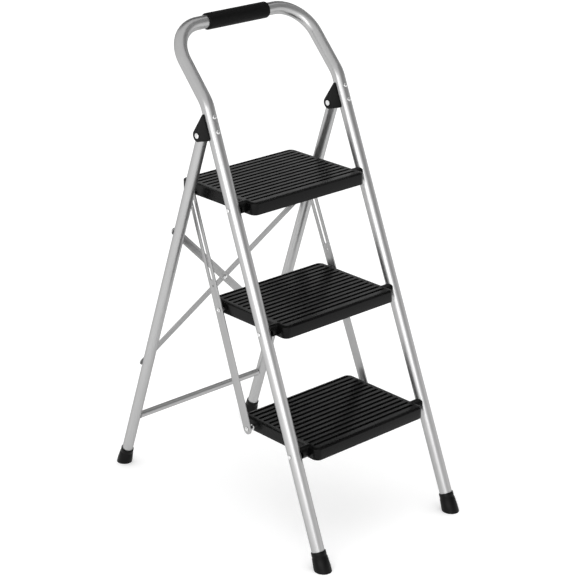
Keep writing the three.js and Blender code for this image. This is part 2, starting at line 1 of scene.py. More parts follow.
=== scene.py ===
"""Three-step folding stool: fine meshes, materials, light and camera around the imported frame.

Lengths are in millimetres up to the point where a mesh is made, and the row frame is +Z up with
the user climbing from -Y.
"""

import json
import math

import bmesh
import bpy
import numpy as np
from mathutils import Matrix, Vector


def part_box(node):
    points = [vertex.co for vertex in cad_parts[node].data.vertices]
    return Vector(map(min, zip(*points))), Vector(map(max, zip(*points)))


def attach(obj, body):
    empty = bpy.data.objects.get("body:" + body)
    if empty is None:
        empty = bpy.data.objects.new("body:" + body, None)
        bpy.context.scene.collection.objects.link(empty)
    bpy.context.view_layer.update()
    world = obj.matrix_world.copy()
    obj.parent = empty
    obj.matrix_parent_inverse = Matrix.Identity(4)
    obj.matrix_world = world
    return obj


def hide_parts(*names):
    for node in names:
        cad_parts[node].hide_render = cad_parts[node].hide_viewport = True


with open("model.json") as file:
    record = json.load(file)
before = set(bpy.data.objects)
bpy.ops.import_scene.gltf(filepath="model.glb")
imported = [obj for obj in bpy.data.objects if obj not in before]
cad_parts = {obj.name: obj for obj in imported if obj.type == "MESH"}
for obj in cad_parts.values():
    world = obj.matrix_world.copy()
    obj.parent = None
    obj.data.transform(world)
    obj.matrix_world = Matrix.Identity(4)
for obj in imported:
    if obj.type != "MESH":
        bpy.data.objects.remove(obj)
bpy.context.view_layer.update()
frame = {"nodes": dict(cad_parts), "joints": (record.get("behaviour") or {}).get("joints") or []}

MM = 0.001
SIDES = {"left": -1, "right": 1}
TREADS = ("bottom", "middle", "top")
JOINT_POS = {j["name"]: Vector(j["pos_m"]) / MM for j in frame["joints"]}

FRONT_LEAN = math.radians(21.5)
REAR_LEAN = math.radians(19.2)
HANDLE_LEAN = math.radians(42.5)
LEG_SPLAY = 0.0105
TUBE_R = 12.7
REAR_TUBE_R = 11.2
TUBE_WALL = 1.2
TUBE_START = 9             # lower end of a leg's tube, along the leg from the floor
CLEARANCE = 0.3            # between a socket or bore and the tube in it
FOOT_HEIGHT = 38
FRONT_SOLE_R = 17
REAR_SOLE_R = 15.8
FRONT_FOOT_REACH = 17.1    # from the leg's axis at the floor to the foot's outermost point
BEND_R = 60
HANDLE_CORNER_R = 70

FRONT_BACKWARD = Vector((0, math.cos(FRONT_LEAN), -math.sin(FRONT_LEAN)))
REAR_BACKWARD = Vector((0, math.cos(REAR_LEAN), math.sin(REAR_LEAN)))
REAR_UPWARD = Vector((0, -math.sin(REAR_LEAN), math.cos(REAR_LEAN)))
X_AXIS = Vector((1, 0, 0))


# ---- reading the frame --------------------------------------------------------------------
def node_points(node):
    """Vertices of a CAD node, in mm."""
    mesh = frame["nodes"][node].data
    return np.array([v.co for v in mesh.vertices], float) / MM


def basis_for(axis):
    """Two directions square to an axis, and the axis."""
    axis = Vector(axis).normalized()
    helper = Vector((0, 0, 1)) if abs(axis.z) < 0.9 else Vector((0, 1, 0))
    across = axis.cross(helper).normalized()
    return across, axis.cross(across).normalized(), axis


def spindle(node, axis):
    """Start point and length of a turned CAD node that lies along a known axis."""
    points = node_points(node)
    a, b, axis = basis_for(axis)
    middle = Vector((0, 0, 0))
    for direction in (a, b):
        reach = points @ np.array(direction)
        middle += direction * float((reach.min() + reach.max()) / 2)
    reach = points @ np.array(axis)
    return middle + axis * float(reach.min()), float(reach.max() - reach.min())


def long_axis(node):
    """Direction of a long CAD node, pointing up."""
    points = node_points(node)
    _, _, rows = np.linalg.svd(points - points.mean(0), full_matrices=False)
    axis = Vector(rows[0])
    return axis if axis.z > 0 else -axis


pivot_low = JOINT_POS["tread_bottom_fold"]
hinge = JOINT_POS["rear_fold"]
FRONT_FOOT_Y = pivot_low.y - math.tan(FRONT_LEAN) * pivot_low.z
REAR_FOOT_Y = hinge.y + math.tan(REAR_LEAN) * hinge.z
LEG_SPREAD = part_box("front_foot_right")[1].x / MM - FRONT_FOOT_REACH


def leg_x(z):
    """Distance of a leg's axis from the middle plane."""
    return LEG_SPREAD - LEG_SPLAY * z


def front_point(side, z):
    """Point on a front leg's axis."""
    return Vector((side * leg_x(z), FRONT_FOOT_Y + math.tan(FRONT_LEAN) * z, z))


def rear_point(side, z):
    """Point on a rear leg's axis."""
    return Vector((side * leg_x(z), REAR_FOOT_Y - math.tan(REAR_LEAN) * z, z))


def leg_direction(side, lean):
    """Up along a leg: lean is positive for the front legs and negative for the rear legs."""
    return Vector((-side * LEG_SPLAY, math.tan(lean), 1)).normalized()


# ---- mesh helpers -------------------------------------------------------------------------
def make_object(name, points, faces):
    mesh = bpy.data.meshes.new(name)
    mesh.from_pydata([tuple(Vector(p) * MM) for p in points], [], faces)
    mesh.validate()
    obj = bpy.data.objects.new(name, mesh)
    bpy.context.scene.collection.objects.link(obj)
    fix_normals(obj)
    return obj


def fix_normals(obj):
    bm = bmesh.new()
    bm.from_mesh(obj.data)
    bmesh.ops.recalc_face_normals(bm, faces=bm.faces)
    bm.to_mesh(obj.data)
    bm.free()


def smooth(obj, angle=35):
    for polygon in obj.data.polygons:
        polygon.use_smooth = True
    obj.data.set_sharp_from_angle(angle=math.radians(angle))


def ring_grid(rings, closed=False):
    """Points and faces of a skin through rings of equal length; open ends are capped."""
    count = len(rings[0])
    points = [p for ring in rings for p in ring]
    faces = []
    last = len(rings) if closed else len(rings) - 1
    for i in range(last):
        j = (i + 1) % len(rings)
        for k in range(count):
            m = (k + 1) % count
            faces.append((i * count + k, i * count + m, j * count + m, j * count + k))
    if not closed:
        faces.append(tuple(range(count))[::-1])
        faces.append(tuple((len(rings) - 1) * count + k for k in range(count)))
    return points, faces


def turned(name, start, axis, profile, segments=32):
    """A solid of revolution from (radius, height) pairs; the first and last lie on the axis."""
    a, b, axis = basis_for(axis)
    points, faces = [start + axis * profile[0][1]], []
    rings = profile[1:-1]
    for radius, height in rings:
        for k in range(segments):
            turn = 2 * math.pi * k / segments
            out = a * math.cos(turn) + b * math.sin(turn)
            points.append(start + axis * height + out * radius)
    points.append(start + axis * profile[-1][1])
    for k in range(segments):
        m = (k + 1) % segments
        faces.append((0, 1 + m, 1 + k))
        base = 1 + (len(rings) - 1) * segments
        faces.append((base + k, base + m, len(points) - 1))
        for i in range(len(rings) - 1):
            low, high = 1 + i * segments, 1 + (i + 1) * segments
            faces.append((low + k, low + m, high + m, high + k))
    return make_object(name, points, faces)


def turned_ring(name, start, axis, profile, segments=48):
    """A ring of revolution from a closed loop of (radius, height) pairs."""
    a, b, axis = basis_for(axis)
    rings = []
    for k in range(segments):
        turn = 2 * math.pi * k / segments
        out = a * math.cos(turn) + b * math.sin(turn)
        rings.append([start + axis * height + out * radius for radius, height in profile])
    points, faces = ring_grid(rings, closed=True)
    return make_object(name, points, faces)


def swept_tube(name, path, radius, wall, segments=48):
    """A tube with a wall along a path of points, with a small rounding at each cut end."""
    tangents = []
    for i in range(len(path)):
        before = path[max(i - 1, 0)]
        after = path[min(i + 1, len(path) - 1)]
        tangents.append((after - before).normalized())
    a = tangents[0].cross(X_AXIS).normalized()
    outer, inner = [], []
    for p, t in zip(path, tangents):
        a = (a - t * a.dot(t)).normalized()
        b = t.cross(a)
        spokes = [a * math.cos(w) + b * math.sin(w)
                  for w in (2 * math.pi * k / segments for k in range(segments))]
        outer.append([p + s * radius for s in spokes])
        inner.append([p + s * (radius - wall) for s in spokes])
    lip = 0.3
    first = [path[0] + (q - path[0]) * (1 - lip / radius) for q in outer[0]]
    last = [path[-1] + (q - path[-1]) * (1 - lip / radius) for q in outer[-1]]
    outer[0] = [q + tangents[0] * lip for q in outer[0]]
    outer[-1] = [q - tangents[-1] * lip for q in outer[-1]]
    rings = [first] + outer + [last] + inner[::-1]
    points, faces = ring_grid(rings, closed=True)
    return make_object(name, points, faces)


def rounded_bar(name, low, along, across, length, half_width, thickness, openings, edge=0.35):
    """A flat bar with round ends, through openings, and softened edges.

    Openings are (height, radius) for a hole and (start, end, radius) for a slot.
    """
    depth = across.cross(along)

    def stadium(start, end, radius, steps=16):
        loop = []
        for i in range(steps + 1):
            w = math.pi + math.pi * i / steps
            loop.append((radius * math.cos(w), start + radius * math.sin(w)))
        for i in range(steps + 1):
            w = math.pi * i / steps
            loop.append((radius * math.cos(w), end + radius * math.sin(w)))
        return loop

    curve = bpy.data.curves.new(name, "CURVE")
    curve.dimensions = "2D"
    curve.fill_mode = "BOTH"
    curve.extrude = (thickness / 2 - edge) * MM
    curve.bevel_depth = edge * MM
    curve.bevel_resolution = 2
    curve.offset = -edge * MM
    loops = [stadium(0, length, half_width)]
    for opening in openings:
        if len(opening) == 2:
            loops.append(stadium(opening[0], opening[0], opening[1]))
        else:
            loops.append(stadium(opening[0], opening[1], opening[2]))
    for loop in loops:
        spline = curve.splines.new("POLY")
        unique = [q for i, q in enumerate(loop) if math.dist(q, loop[i - 1]) > 1e-6]
        spline.points.add(len(unique) - 1)
        for point, q in zip(spline.points, unique):
            point.co = (q[0] * MM, q[1] * MM, 0, 1)
        spline.use_cyclic_u = True
    holder = bpy.data.objects.new(name + "_curve", curve)
    bpy.context.scene.collection.objects.link(holder)
    bpy.context.view_layer.update()
    result = holder.evaluated_get(bpy.context.evaluated_depsgraph_get())
    mesh = bpy.data.meshes.new_from_object(result)
    bpy.data.objects.remove(holder)
    bpy.data.curves.remove(curve)
    place = Matrix((across, along, depth)).transposed().to_4x4()
    place.translation = low * MM
    mesh.transform(place)
    mesh.name = name
    obj = bpy.data.objects.new(name, mesh)
    bpy.context.scene.collection.objects.link(obj)
    bm = bmesh.new()
    bm.from_mesh(mesh)
    bmesh.ops.remove_doubles(bm, verts=bm.verts, dist=1e-6)
    bmesh.ops.recalc_face_normals(bm, faces=bm.faces)
    bm.to_mesh(mesh)
    bm.free()
    return obj


def apply_modifier(obj, kind, **settings):
    modifier = obj.modifiers.new(kind.lower(), kind)
    for key, value in settings.items():
        setattr(modifier, key, value)
    bpy.context.view_layer.update()
    result = obj.evaluated_get(bpy.context.evaluated_depsgraph_get())
    mesh = bpy.data.meshes.new_from_object(result)
    obj.modifiers.clear()
    old = obj.data
    obj.data = mesh
    bpy.data.meshes.remove(old)


def remove_object(obj):
    mesh = obj.data
    bpy.data.objects.remove(obj)
    bpy.data.meshes.remove(mesh)


def boolean(obj, tools, operation):
    """Join or cut with several tools, one after another. The tools are used up."""
    for tool in tools:
        apply_modifier(obj, "BOOLEAN", object=tool, operation=operation, solver="EXACT")
        remove_object(tool)


def merged(tools):
    """Several separate solids as one tool for a boolean."""
    bm = bmesh.new()
    for tool in tools:
        bm.from_mesh(tool.data)
    target = tools[0]
    bm.to_mesh(target.data)
    bm.free()
    for tool in tools[1:]:
        remove_object(tool)
    return target


def block(lows, highs, axes=None, origin=None):
    """A cutting or stiffening block, in its own axes about an origin."""
    axes = axes or (Vector((1, 0, 0)), Vector((0, 1, 0)), Vector((0, 0, 1)))
    origin = origin or Vector((0, 0, 0))
    (x0, y0, z0), (x1, y1, z1) = lows, highs
    points = []
    for z in (z0, z1):
        for x, y in ((x0, y0), (x1, y0), (x1, y1), (x0, y1)):
            points.append(origin + axes[0] * x + axes[1] * y + axes[2] * z)
    faces = [(3, 2, 1, 0), (4, 5, 6, 7), (0, 1, 5, 4), (1, 2, 6, 5), (2, 3, 7, 6), (3, 0, 4, 7)]
    return make_object("block", points, faces)


def cylinder(start, end, radius, segments=48):
    axis = end - start
    length = axis.length
    profile = [(0, 0), (radius, 0), (radius, length), (0, length)]
    return turned("cylinder", start, axis, profile, segments)


def finish_piece(obj, body, material, nodes, angle=35):
    """Give a piece its material, body, slot and the CAD nodes that it stands in for."""
    obj.data.materials.clear()
    obj.data.materials.append(material)
    smooth(obj, angle)
    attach(obj, body)
    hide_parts(*nodes)
    return obj


# ---- materials ----------------------------------------------------------------------------
class Nodes:
    """Short calls for a material's node tree."""

    def __init__(self, name):
        self.material = bpy.data.materials.new(name)
        self.material.use_nodes = True
        self.tree = self.material.node_tree
        self.tree.nodes.clear()
        self.shader = self.add("ShaderNodeBsdfPrincipled")
        output = self.add("ShaderNodeOutputMaterial")
        self.link(self.shader, "BSDF", output, "Surface")
        self.place = self.add("ShaderNodeTexCoord")

    def add(self, kind, **settings):
        node = self.tree.nodes.new(kind)
        for key, value in settings.items():
            setattr(node, key, value)
        return node

    def link(self, source, output, target, input_name):
        self.tree.links.new(source.outputs[output], target.inputs[input_name])

    def noise(self, scale, detail=4, roughness=0.5, stretch=None):
        node = self.add("ShaderNodeTexNoise")
        node.inputs["Scale"].default_value = scale
        node.inputs["Detail"].default_value = detail
        node.inputs["Roughness"].default_value = roughness
        if stretch is None:
            self.link(self.place, "Object", node, "Vector")
        else:
            mapping = self.add("ShaderNodeMapping")
            mapping.inputs["Scale"].default_value = stretch
            self.link(self.place, "Object", mapping, "Vector")
            self.link(mapping, "Vector", node, "Vector")
        return node

    def ramp(self, source, output, stops):
        node = self.add("ShaderNodeValToRGB")
        self.link(source, output, node, "Fac")
        elements = node.color_ramp.elements
        while len(elements) < len(stops):
            elements.new(0.5)
        for element, (position, value) in zip(elements, stops):
            element.position = position
            element.color = value if isinstance(value, tuple) else (value, value, value, 1)
        return node

    def mix(self, factor, first, second):
        """Mix two colour sockets by a factor socket; each is a (node, output) pair."""
        node = self.add("ShaderNodeMix", data_type="RGBA")
        self.tree.links.new(factor[0].outputs[factor[1]], node.inputs["Factor"])
        self.tree.links.new(first[0].outputs[first[1]], node.inputs[6])
        self.tree.links.new(second[0].outputs[second[1]], node.inputs[7])
        return node

    def bump(self, source, output, strength, distance):
        node = self.add("ShaderNodeBump")
        node.inputs["Strength"].default_value = strength
        node.inputs["Distance"].default_value = distance
        self.link(source, output, node, "Height")
        self.link(node, "Normal", self.shader, "Normal")

    def edge_wear(self, low, high):
        """White on outward edges, from the shape's pointiness."""
        geometry = self.add("ShaderNodeNewGeometry")
        return self.ramp(geometry, "Pointiness", [(low, 0.0), (high, 1.0)])


def grey(value):
    return (value, value, value, 1)


def metal_paint(name, base, roughness, grain):
    """Satin silver paint: even tone, very fine grain, a little brighter where edges are rubbed."""
    n = Nodes(name)
    s = n.shader
    s.inputs["Metallic"].default_value = 0.92
    s.inputs["Specular Tint"].default_value = (0.5, 0.5, 0.5, 1)
    broad = n.noise(9, 2)
    tone = n.ramp(broad, "Fac", [(0.3, grey(base * 0.985)), (0.7, grey(base * 1.01))])
    worn = n.ramp(broad, "Fac", [(0.0, grey(base * 1.05)), (1.0, grey(base * 1.1))])
    edge = n.edge_wear(0.6, 0.75)
    colour = n.mix((edge, "Color"), (tone, "Color"), (worn, "Color"))
    n.tree.links.new(colour.outputs[2], s.inputs["Base Color"])
    cloud = n.noise(22, 2)
    rough = n.ramp(cloud, "Fac", [(0.3, roughness * 0.97), (0.7, roughness * 1.03)])
    n.link(rough, "Color", s, "Roughness")
    flake = n.noise(grain, 2)
    n.bump(flake, "Fac", 0.03, 0.00002)
    return n.material


def plated_steel(name, base, roughness):
    """Bright zinc plate with a faint mottle."""
    n = Nodes(name)
    s = n.shader
    s.inputs["Metallic"].default_value = 1.0
    broad = n.noise(220, 3)
    tone = n.ramp(broad, "Fac", [(0.3, grey(base * 0.94)), (0.7, grey(base))])
    n.link(tone, "Color", s, "Base Color")
    rough = n.ramp(broad, "Fac", [(0.3, roughness * 0.85), (0.7, roughness * 1.2)])
    n.link(rough, "Color", s, "Roughness")
    fine = n.noise(1600, 2)
    n.bump(fine, "Fac", 0.08, 0.00005)
    return n.material


def moulded(name, base, roughness, ior, grain_scale, grain_depth, worn):
    """Moulded plastic or rubber with a fine grain and slightly polished edges."""
    n = Nodes(name)
    s = n.shader
    s.inputs["IOR"].default_value = ior
    broad = n.noise(30, 4)
    tone = n.ramp(broad, "Fac", [(0.3, grey(base * 0.9)), (0.7, grey(base * 1.1))])
    rub = n.ramp(broad, "Fac", [(0.0, grey(worn * 0.8)), (1.0, grey(worn))])
    edge = n.edge_wear(0.52, 0.62)
    colour = n.mix((edge, "Color"), (tone, "Color"), (rub, "Color"))
    n.tree.links.new(colour.outputs[2], s.inputs["Base Color"])
    rough = n.ramp(broad, "Fac", [(0.3, roughness * 0.9), (0.7, roughness * 1.1)])
    n.link(rough, "Color", s, "Roughness")
    grain = n.noise(grain_scale, 3, 0.6)
    n.bump(grain, "Fac", 0.35, grain_depth)
    return n.material


frame_paint = metal_paint("frame_paint", 0.43, 0.32, 2600)
link_paint = metal_paint("link_paint", 0.38, 0.38, 2200)
rivet_steel = plated_steel("rivet_steel", 0.72, 0.26)
tread_plastic = moulded("tread_plastic", 0.0015, 0.27, 1.22, 1500, 0.00003, 0.0025)
bracket_plastic = moulded("bracket_plastic", 0.0015, 0.38, 1.18, 1400, 0.00005, 0.004)
foot_rubber = moulded("foot_rubber", 0.0025, 0.42, 1.22, 1200, 0.00006, 0.006)
grip_rubber = moulded("grip_rubber", 0.002, 0.6, 1.2, 900, 0.00015, 0.005)


# ---- front frame --------------------------------------------------------------------------
handle_start = spindle("handle_grip", X_AXIS)[0]
HANDLE_Z = handle_start.z
HANDLE_Y = handle_start.y
# The bend lies where the leg line and the upper tube's line meet.
BEND_Z = ((HANDLE_Y - FRONT_FOOT_Y) - math.tan(HANDLE_LEAN) * HANDLE_Z) / (
    math.tan(FRONT_LEAN) - math.tan(HANDLE_LEAN))


def front_path(side):
    """One half of the front tube's centre line, from the foot to the middle of the handle."""
    lower = Vector((math.sin(FRONT_LEAN), math.cos(FRONT_LEAN)))
    upper = Vector((math.sin(HANDLE_LEAN), math.cos(HANDLE_LEAN)))
    floor = Vector((FRONT_FOOT_Y, 0))
    bend = Vector((FRONT_FOOT_Y + math.tan(FRONT_LEAN) * BEND_Z, BEND_Z))

    def station(p, inset=0.0):
        return Vector((side * (leg_x(p.y) - inset), p.x, p.y))

    reach = BEND_R * math.tan((HANDLE_LEAN - FRONT_LEAN) / 2)
    entry = bend - lower * reach
    first = floor + lower * TUBE_START
    path = []
    straight = 12
    for i in range(straight):
        path.append(station(first.lerp(entry, i / straight)))
    centre = entry + Vector((lower.y, -lower.x)) * BEND_R
    bend_steps = 10
    for i in range(bend_steps + 1):
        lean = FRONT_LEAN + (HANDLE_LEAN - FRONT_LEAN) * i / bend_steps
        path.append(station(centre - Vector((math.cos(lean), -math.sin(lean))) * BEND_R))
    upper_length = (HANDLE_Z - BEND_Z) / math.cos(HANDLE_LEAN)
    corner_steps = 20
    for i in range(corner_steps + 1):
        turn = math.pi / 2 * i / corner_steps
        p = bend + upper * (upper_length - HANDLE_CORNER_R * (1 - math.sin(turn)))
        path.append(station(p, HANDLE_CORNER_R * (1 - math.cos(turn))))
    return path


def front_frame():
    """Both front legs and the handle, as one bent tube."""
    left = front_path(-1)
    right = front_path(1)
    tube = swept_tube("front_tube", left + right[::-1], TUBE_R, TUBE_WALL, 56)
    finish_piece(tube, "front", frame_paint, ["front_frame"])


def handle_grip():
    """A sleeve around the handle with rounded ends."""
    start, length = spindle("handle_grip", X_AXIS)
    inner = TUBE_R + CLEARANCE
    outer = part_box("handle_grip")[1].z / MM - start.z
    round_r = 3.2
    loop = [(inner, 0), (outer - round_r, 0)]
    for i in range(1, 7):
        w = math.pi / 2 * i / 6
        loop.append((outer - round_r + round_r * math.sin(w), round_r * (1 - math.cos(w))))
    for i in range(1, 24):
        loop.append((outer, round_r + (length - 2 * round_r) * i / 24))
    for i in range(7):
        w = math.pi / 2 * (1 - i / 6)
        loop.append((outer - round_r + round_r * math.sin(w),
                     length - round_r * (1 - math.cos(w))))
    loop.append((inner, length))
    grip = turned_ring("grip_sleeve", start, X_AXIS, loop, 64)
    finish_piece(grip, "front", grip_rubber, ["handle_grip"])


def foot(node, body, floor_point, direction, tube_r, sole_r):
    """A rubber boot with a flared sole, a collar bead and a socket, cut level with the floor."""
    collar = tube_r + 2
    bore = tube_r + CLEARANCE
    socket = TUBE_START - CLEARANCE
    below_floor = -14
    profile = [(0, below_floor), (sole_r, below_floor), (sole_r, 6), (sole_r - 0.15, 9),
               (collar + 0.75, 26.5), (collar - 0.2, 27.8), (collar - 0.2, 28.6), (collar, 29.4),
               (collar, FOOT_HEIGHT - 0.8), (collar - 0.3, FOOT_HEIGHT - 0.2),
               (collar - 0.9, FOOT_HEIGHT), (bore, FOOT_HEIGHT), (bore, socket), (0, socket)]
    obj = turned(node + "_boot", floor_point, direction, profile, 56)
    bm = bmesh.new()
    bm.from_mesh(obj.data)
    geometry = bm.verts[:] + bm.edges[:] + bm.faces[:]
    cut = bmesh.ops.bisect_plane(bm, geom=geometry, plane_co=(0, 0, 0), plane_no=(0, 0, 1),
                                 clear_inner=True)
    edges = [e for e in cut["geom_cut"] if isinstance(e, bmesh.types.BMEdge)]
    bmesh.ops.edgeloop_fill(bm, edges=edges)
    bmesh.ops.recalc_face_normals(bm, faces=bm.faces)
    bm.to_mesh(obj.data)
    bm.free()
    finish_piece(obj, body, foot_rubber, [node], 40)


def rivet_profile(head_r, head_height, shank_r, length, steps=6):
    """Domed head from height 0, a shank to the full length."""
    profile = [(0, 0)]
    for i in range(1, steps + 1):
        w = math.pi / 2 * i / steps
        profile.append((head_r * math.sin(w), head_height * 0.92 * (1 - math.cos(w))))
    profile += [(head_r, head_height), (shank_r, head_height), (shank_r, length - 0.3),
                (shank_r - 0.3, length), (0, length)]
    return profile


def tread_pivot_rivets():
    for name, side in SIDES.items():
        for tread in TREADS:
            node = f"tread_pivot_rivet_{tread}_{name}"
            axis = -X_AXIS * side
            start, length = spindle(node, axis)
            pin = turned(node + "_head", start, axis, rivet_profile(4.2, 1.7, 3, length), 32)
            finish_piece(pin, "front", rivet_steel, [node])


# ---- hinge brackets -----------------------------------------------------------------------
HINGE_W = 33.7             # hinge axis, behind the front leg's axis
CHEEK_INNER = 13           # faces of the two cheeks, from the leg's axis
CHEEK_OUTER = 15
REAR_LEG_ROOM = 15.5       # where the space for the rear leg starts, behind the leg's axis
HINGE_HOLE_R = 3.8
HINGE_PIN_R = 3.5
HINGE_HEAD_R = 5.5


def quadratic(start, control, end, steps=6):
    """Points after the start of a quadratic curve."""
    points = []
    for i in range(1, steps + 1):
        t = i / steps
        points.append(tuple(a * (1 - t) ** 2 + 2 * b * t * (1 - t) + c * t * t
                            for a, b, c in zip(start, control, end)))
    return points


def bracket_loop(lobe=12, steps=28):
    """Side outline: x behind the leg axis, y along the leg from the hinge."""
    front = -1
    loop = [(front, -9)] + quadratic((front, -9), (front, -15.5), (front + 7, -14.9))
    first, last = -math.pi / 2 - 0.1, 0.32 * math.pi
    for i in range(steps + 1):
        w = first + (last - first) * i / steps
        loop.append((HINGE_W + lobe * math.cos(w), lobe * math.sin(w)))
    return loop + [(5, 34)] + quadratic((5, 34), (front + 2, 37.5), (front, 33))


def hinge_bracket(name, side):
    along = leg_direction(side, FRONT_LEAN)
    outward = FRONT_BACKWARD.cross(along).normalized()
    backward = along.cross(outward)
    hinge_s = (hinge.y - FRONT_FOOT_Y) * math.sin(FRONT_LEAN) + hinge.z * math.cos(FRONT_LEAN)
    origin = front_point(side, hinge_s * math.cos(FRONT_LEAN))

    def at(w, s, out=0.0):
        return origin + backward * w + along * s + outward * out

    rings = [[at(w, s, out) for w, s in bracket_loop()] for out in (-CHEEK_OUTER, CHEEK_OUTER)]
    points, faces = ring_grid(rings)
    obj = make_object(f"hinge_bracket_{name}_cover", points, faces)
    leg_axes = (outward, backward, along)
    r = TUBE_R + CLEARANCE
    pin = Vector((origin.x, hinge.y, hinge.z))
    tube_bore = cylinder(at(0, -40), at(0, 70), r, 64)
    open_front = block((-r, -20, -60), (r, 0, 60), leg_axes, at(0, 10))
    leg_room = block((-CHEEK_INNER, 0, -80), (CHEEK_INNER, 60, 80), leg_axes, at(REAR_LEG_ROOM, 0))
    pin_hole = cylinder(pin - X_AXIS * 30, pin + X_AXIS * 30, HINGE_HOLE_R, 32)
    boolean(obj, [tube_bore, open_front, leg_room, pin_hole], "DIFFERENCE")
    apply_modifier(obj, "BEVEL", width=0.7 * MM, segments=3, limit_method="ANGLE",
                   angle_limit=math.radians(40))
    finish_piece(obj, "front", bracket_plastic, [f"hinge_bracket_{name}"], 45)


def hinge_pin(name, side):
    """A pin with a flat inner head and a domed outer one."""
    node = f"hinge_pin_{name}"
    axis = X_AXIS * side
    start, length = spindle(node, axis)
    head, shank = HINGE_HEAD_R, HINGE_PIN_R
    dome = [(0, length)]
    for i in range(1, 7):
        w = math.pi / 2 * i / 6
        dome.append((head * math.sin(w), length - 1.9 * (1 - math.cos(w))))
    profile = [(0, 0), (head - 0.6, 0), (head - 0.15, 0.15), (head, 0.5), (head, 1), (shank, 1),
               (shank, length - 2), (head, length - 2)] + dome[::-1]
    pin = turned(node + "_head", start, axis, profile, 40)
    finish_piece(pin, "front", rivet_steel, [node])


def bracket_rivets():
    for name in SIDES:
        for place in ("lower", "upper"):
            node = f"bracket_rivet_{place}_{name}"
            start, length = spindle(node, FRONT_BACKWARD)
            profile = rivet_profile(4.2, 1.6, 2.5, length)
            pin = turned(node + "_head", start, FRONT_BACKWARD, profile, 32)
            finish_piece(pin, "front", rivet_steel, [node])


# ---- treads -------------------------------------------------------------------------------
# Lengths are from the tread's own pivot axis: y to the back, z up.
TREAD_HALF = 145
TREAD_FRONT = -31.5
TREAD_BACK = 184.5
TREAD_TOP = 11.8
TREAD_BOTTOM = -12.2
TREAD_CORNER_R = 12
TREAD_WALL = 3.2
TREAD_SKIN = 4.6
TREAD_RIM_R = 1.0
FIRST_GROOVE = -10.8
GROOVE_PITCH = 14.26
GROOVE_COUNT = 14
GROOVE_HALF = 3.3
GROOVE_DEPTH = 2.6
CROWN_WIDTH = 8.5          # the sloping border around the ribbed top
CROWN_DROP = 1.6
STIFFENER_HALF = 1
BOSS_R = 12
BOSS_DOME = 4.5
SEAT_R = 7                 # the small pad behind each link rivet
RIVET_BORE_R = 3.3
FOLD_ANGLE = math.radians(60)
LINK_BACK = 152.5
LINK_DROP = 4.5


def tread_ring(inset, z, steps=14):
    """The tread's outline with round corners, drawn in by an inset."""
    w = TREAD_HALF - inset
    y0, y1 = TREAD_FRONT + inset, TREAD_BACK - inset
    r = max(TREAD_CORNER_R - inset, 1.0)
    ring = []
    corners = ((w - r, y0 + r, -90), (w - r, y1 - r, 0), (-w + r, y1 - r, 90), (-w + r, y0 + r, 180))
    for cx, cy, first in corners:
        for i in range(steps + 1):
            a = math.radians(first + 90 * i / steps)
            ring.append(Vector((cx + r * math.cos(a), cy + r * math.sin(a), z)))
    return ring


def tread_shell():
    """Outer skirt, rounded rim, top, and the hollow underneath, as one closed skin."""
    levels = [(0.7, TREAD_BOTTOM), (0.2, TREAD_BOTTOM + 0.25), (0, TREAD_BOTTOM + 0.8)]
    rim = TREAD_RIM_R
    edge_z = TREAD_TOP - CROWN_DROP
    for i in range(6):
        w = math.pi / 2 * i / 6
        levels.append((rim * (1 - math.cos(w)), edge_z - rim * (1 - math.sin(w))))
    for i in range(7):
        t = i / 6
        levels.append((rim + (CROWN_WIDTH - rim) * t, TREAD_TOP - CROWN_DROP * (1 - t) ** 2))
    outer = [tread_ring(inset, z) for inset, z in levels]
    inner = [tread_ring(TREAD_WALL, TREAD_TOP - TREAD_SKIN),
             tread_ring(TREAD_WALL, TREAD_BOTTOM + 0.4), tread_ring(TREAD_WALL - 0.2, TREAD_BOTTOM)]
    points, faces = ring_grid(inner + outer)
    return make_object("tread_shell", points, faces)


def groove(y):
    """Cutter for one groove of the tread's top: round ends, sloping sides and a flared mouth."""
    floor = TREAD_TOP - GROOVE_DEPTH
    reach = TREAD_HALF - 10 - GROOVE_HALF
    levels = ((GROOVE_HALF - 0.55, floor), (GROOVE_HALF - 0.25, floor + 0.25),
              (GROOVE_HALF, TREAD_TOP - 0.35), (GROOVE_HALF + 0.3, TREAD_TOP),
              (GROOVE_HALF + 1.3, TREAD_TOP + 1))
    rings = []
    for half, z in levels:
        ring = []
        for i in range(9):
            a = -math.pi / 2 + math.pi * i / 8
            ring.append(Vector((reach + half * math.cos(a), y + half * math.sin(a), z)))
        for i in range(9):
            a = math.pi / 2 + math.pi * i / 8
            ring.append(Vector((-reach + half * math.cos(a), y + half * math.sin(a), z)))
        rings.append(ring)
    points, faces = ring_grid(rings)
    return make_object("groove", points, faces)


def leg_sweep(side, leg_centre_x):
    """The room that a leg takes up beside a tread over the whole fold, seen from the tread."""
    sweep = []
    steps = 6
    for i in range(steps + 1):
        lean = FRONT_LEAN + FOLD_ANGLE * i / steps
        reach = Vector((0, math.sin(lean), math.cos(lean))) * 40
        centre = Vector((side * leg_centre_x, 0, 0))
        sweep.append(cylinder(centre - reach, centre + reach, TUBE_R + 0.6, 64))
    return sweep


def boss(start, axis, length):
    """A round ear with a softly domed end."""
    profile = [(0, 0), (BOSS_R, 0), (BOSS_R, length - BOSS_DOME)]
    for i in range(1, 7):
        w = math.pi / 2 * i / 6
        profile.append((BOSS_R - BOSS_DOME * (1 - math.cos(w)),
                        length - BOSS_DOME * (1 - math.sin(w))))
    profile.append((0, length))
    return turned("boss", start, axis, profile, 56)


